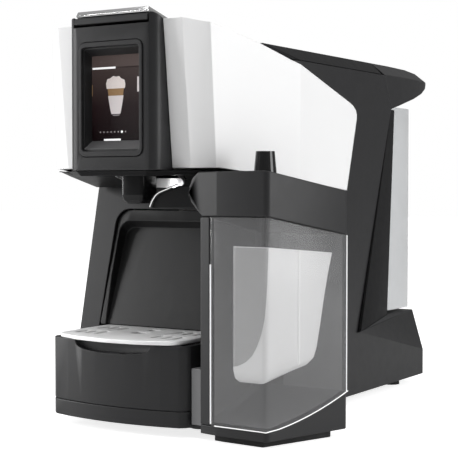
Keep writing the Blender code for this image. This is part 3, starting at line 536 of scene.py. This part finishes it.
VESSEL_FRONT = -1.2
VESSEL_LEFT = 107.0
VESSEL_RIGHT = 137.0  # at the front
VESSEL_FLARE = 0.325  # rightwards for each millimetre backwards
VESSEL_LEVELS = [
    # rear edge Y, height at the rear, height at the front
    (66.0, 143.6, 150.0),
    (62.0, 128.0, 130.0),
    (58.6, 112.8, 110.0),
    (54.6, 91.4, 86.0),
    (50.6, 71.7, 66.0),
    (47.6, 64.2, 56.0),
    (43.6, 59.6, 50.0),
    (37.0, 57.0, 46.6),
    (29.0, 55.0, 44.8),
]


def vessel_plan(rear_y, inset):
    """The vessel's rounded plan; its right side runs out backwards with the jacket."""
    front = VESSEL_FRONT + inset
    rear = rear_y - inset
    left = VESSEL_LEFT + inset
    side = [(VESSEL_RIGHT + VESSEL_FLARE * (y - front) - 1.2 * inset, y) for y in (front, rear)]
    corners = [(left, front), side[0], side[1], (left, rear)]
    points = []
    for k, corner in enumerate(corners):
        here = Vector(corner)
        before = (Vector(corners[k - 1]) - here).normalized()
        after = (Vector(corners[(k + 1) % 4]) - here).normalized()
        radius = max(4.5 - inset, 2.5)
        start = here + before * radius
        end = here + after * radius
        for step in range(7):
            t = step / 6
            points.append(start * (1 - t) ** 2 + here * 2 * t * (1 - t) + end * t**2)
    return points


def vessel_ring(level, inset, lift):
    rear_y, rear_z, front_z = level
    plan = vessel_plan(rear_y, inset)
    share = [(point.y - VESSEL_FRONT) / (rear_y - VESSEL_FRONT) for point in plan]
    return [(point.x, point.y, front_z + (rear_z - front_z) * t + lift) for point, t in zip(plan, share)]


def build_vessel():
    """An open milky vessel whose rear wall and sloping floor draw in towards the front foot."""
    walls = VESSEL_LEVELS[:6]
    foot = list(zip(VESSEL_LEVELS[6:], (1.2, 3.6, 7.0)))
    wall, floor = 1.4, 1.6
    outer = [vessel_ring(level, 0.0, 0.0) for level in walls]
    outer += [vessel_ring(level, inset, 0.0) for level, inset in foot]
    inner = [vessel_ring(level, wall, 0.0) for level in walls]
    inner += [vessel_ring(level, inset + wall, floor) for level, inset in foot]
    rings = outer + list(reversed(inner))
    bm = bmesh.new()
    made = [[bm.verts.new(place(*point)) for point in ring] for ring in rings]
    count = len(made[0])
    floor_at = len(outer) - 1
    for index, (a, b) in enumerate(zip(made, made[1:])):
        if index == floor_at:
            continue
        for k in range(count):
            bm.faces.new((a[k], a[(k + 1) % count], b[(k + 1) % count], b[k]))
    for k in range(count):
        bm.faces.new((made[-1][k], made[-1][(k + 1) % count], made[0][(k + 1) % count], made[0][k]))
    bm.faces.new(made[floor_at])
    bm.faces.new(made[floor_at + 1])
    bmesh.ops.recalc_face_normals(bm, faces=bm.faces)
    mesh = bpy.data.meshes.new("milk_vessel_look")
    bm.to_mesh(mesh)
    bm.free()
    smooth(mesh, 45.0)
    vessel = finish_piece(link("milk_vessel_look", mesh), "milk_unit", VESSEL)
    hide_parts("milk_vessel")


# ---------------------------------------------------------------- painted highlights on the milk unit's edges


def ramp_edge():
    """The line where the jacket meets the milk base, round the front and up the right side, along which a
    highlight is painted.
    """
    line = [(94.0, -4.9, 13.5), (140.6, -6.6, 13.5)]
    for k in range(9):
        y = -5.0 + 10.0 * k
        back = max(y, 0.0)
        line.append((141.4 + 25.3 * (y + 6.3) / 82.3, y, 13.9 + 0.14 * back + 0.002 * back**2))
    return line


def build_front_shade():
    """A dark sheet over the vessel's front wall, above the curve of its foot: painted shade."""
    outline = [(139.6, 149.4), (138.4, 120.0), (136.4, 97.0), (133.4, 85.0), (129.6, 75.6), (125.4, 68.6)]
    outline += [(120.0, 63.6), (113.0, 60.2), (107.6, 59.2), (107.6, 149.4)]
    shade_sheet = flat_shape("vessel_front_painted_shade", outline, VESSEL_FRONT - 0.55, FRONT_SHADE_PAINT, 0.2)
    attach(shade_sheet, "milk_unit")


def build_milk_highlights():
    bead = ("milk_unit", "clear")
    strip("vessel_side_highlight", [(147.6, 30.0, 60.0), (147.9, 30.0, 146.5)], 0.8, EDGE_HIGHLIGHT, *bead)
    strip("jacket_rear_highlight", [(164.9, 75.4, 34.5), (164.9, 75.4, 157.0)], 0.45, EDGE_HIGHLIGHT, *bead)
    strip("jacket_left_highlight", [(90.9, -5.3, 15.0), (90.9, -5.3, 136.0)], 0.55, EDGE_HIGHLIGHT, *bead)
    strip("jacket_foot_highlight", ramp_edge(), 0.4, EDGE_HIGHLIGHT, *bead)


build_picture()
build_reflector()
build_vessel()
build_front_shade()
build_milk_highlights()


# ---------------------------------------------------------------- camera, floor and light


def aim(obj, target):
    obj.rotation_euler = (Vector(target) - obj.location).to_track_quat("-Z", "Y").to_euler()


def add_camera():
    camera = bpy.data.cameras.new("camera")
    camera.lens = 98.3
    camera.sensor_width = 36.0
    camera.clip_start = 0.01
    obj = bpy.data.objects.new("camera", camera)
    obj.location = CAMERA_AT
    level = math.cos(CAMERA_PITCH)
    across = -math.sin(CAMERA_AZIMUTH) * level
    back = math.cos(CAMERA_AZIMUTH) * level
    aim(obj, obj.location + Vector((across, back, -math.sin(CAMERA_PITCH))))
    bpy.context.scene.collection.objects.link(obj)
    bpy.context.scene.camera = obj


def add_softbox(name, location, target, size, power):
    light = bpy.data.lights.new(name, "AREA")
    light.shape = "RECTANGLE"
    light.size, light.size_y = size
    light.energy = power
    obj = bpy.data.objects.new(name, light)
    obj.location = location
    aim(obj, target)
    bpy.context.scene.collection.objects.link(obj)


def add_floor():
    """A pale floor that reads as white from above and lights the machine only softly."""
    corners = [(x * FLOOR_HALF, y * FLOOR_HALF, 0) for x, y in ((-1, -1), (1, -1), (1, 1), (-1, 1))]
    mesh = bpy.data.meshes.new("studio_floor")
    mesh.from_pydata(corners, [], [(0, 1, 2, 3)])
    floor = link("studio_floor", mesh)
    material = surface("pale_floor", (0.8, 0.8, 0.8), 0.8, variation=0.01, Emission_Color=(1, 1, 1, 1))
    nodes = material.node_tree.nodes
    links = material.node_tree.links
    path = nodes.new("ShaderNodeLightPath")
    glow = nodes.new("ShaderNodeMath")
    glow.operation = "MULTIPLY"
    glow.inputs[1].default_value = 0.8
    links.new(path.outputs["Is Camera Ray"], glow.inputs[0])
    links.new(glow.outputs["Value"], nodes["Principled BSDF"].inputs["Emission Strength"])
    floor.data.materials.append(material)


def add_world():
    world = bpy.data.worlds.new("studio")
    bpy.context.scene.world = world
    world.use_nodes = True
    nodes = world.node_tree.nodes
    links = world.node_tree.links
    nodes.clear()
    coordinates = nodes.new("ShaderNodeTexCoord")
    split = nodes.new("ShaderNodeSeparateXYZ")
    links.new(coordinates.outputs["Generated"], split.inputs["Vector"])
    ramp = nodes.new("ShaderNodeValToRGB")
    ramp.color_ramp.elements[0].position = 0.0
    ramp.color_ramp.elements[0].color = (0.2, 0.2, 0.2, 1)
    ramp.color_ramp.elements[1].position = 0.9
    ramp.color_ramp.elements[1].color = (0.4, 0.4, 0.4, 1)
    links.new(split.outputs["Z"], ramp.inputs["Fac"])
    dim = nodes.new("ShaderNodeBackground")
    links.new(ramp.outputs["Color"], dim.inputs["Color"])
    bright = nodes.new("ShaderNodeBackground")
    bright.inputs["Color"].default_value = (1, 1, 1, 1)
    bright.inputs["Strength"].default_value = 1.0
    path = nodes.new("ShaderNodeLightPath")
    mix = nodes.new("ShaderNodeMixShader")
    links.new(path.outputs["Is Camera Ray"], mix.inputs["Fac"])
    links.new(dim.outputs["Background"], mix.inputs[1])
    links.new(bright.outputs["Background"], mix.inputs[2])
    output = nodes.new("ShaderNodeOutputWorld")
    links.new(mix.outputs["Shader"], output.inputs["Surface"])


add_camera()
add_floor()
add_world()
add_softbox("softbox_right", (1.4, 0.15, 0.5), target=(0.1, 0.0, 0.2), size=(0.8, 1.0), power=12)
add_softbox("softbox_left", (-1.5, -0.85, 0.5), target=(-0.02, -0.1, 0.2), size=(0.6, 0.9), power=21)
add_softbox("softbox_top", (0.1, -0.5, 1.5), target=(0.0, -0.1, 0.1), size=(1.0, 0.8), power=12)
bpy.context.scene.view_settings.view_transform = "Standard"
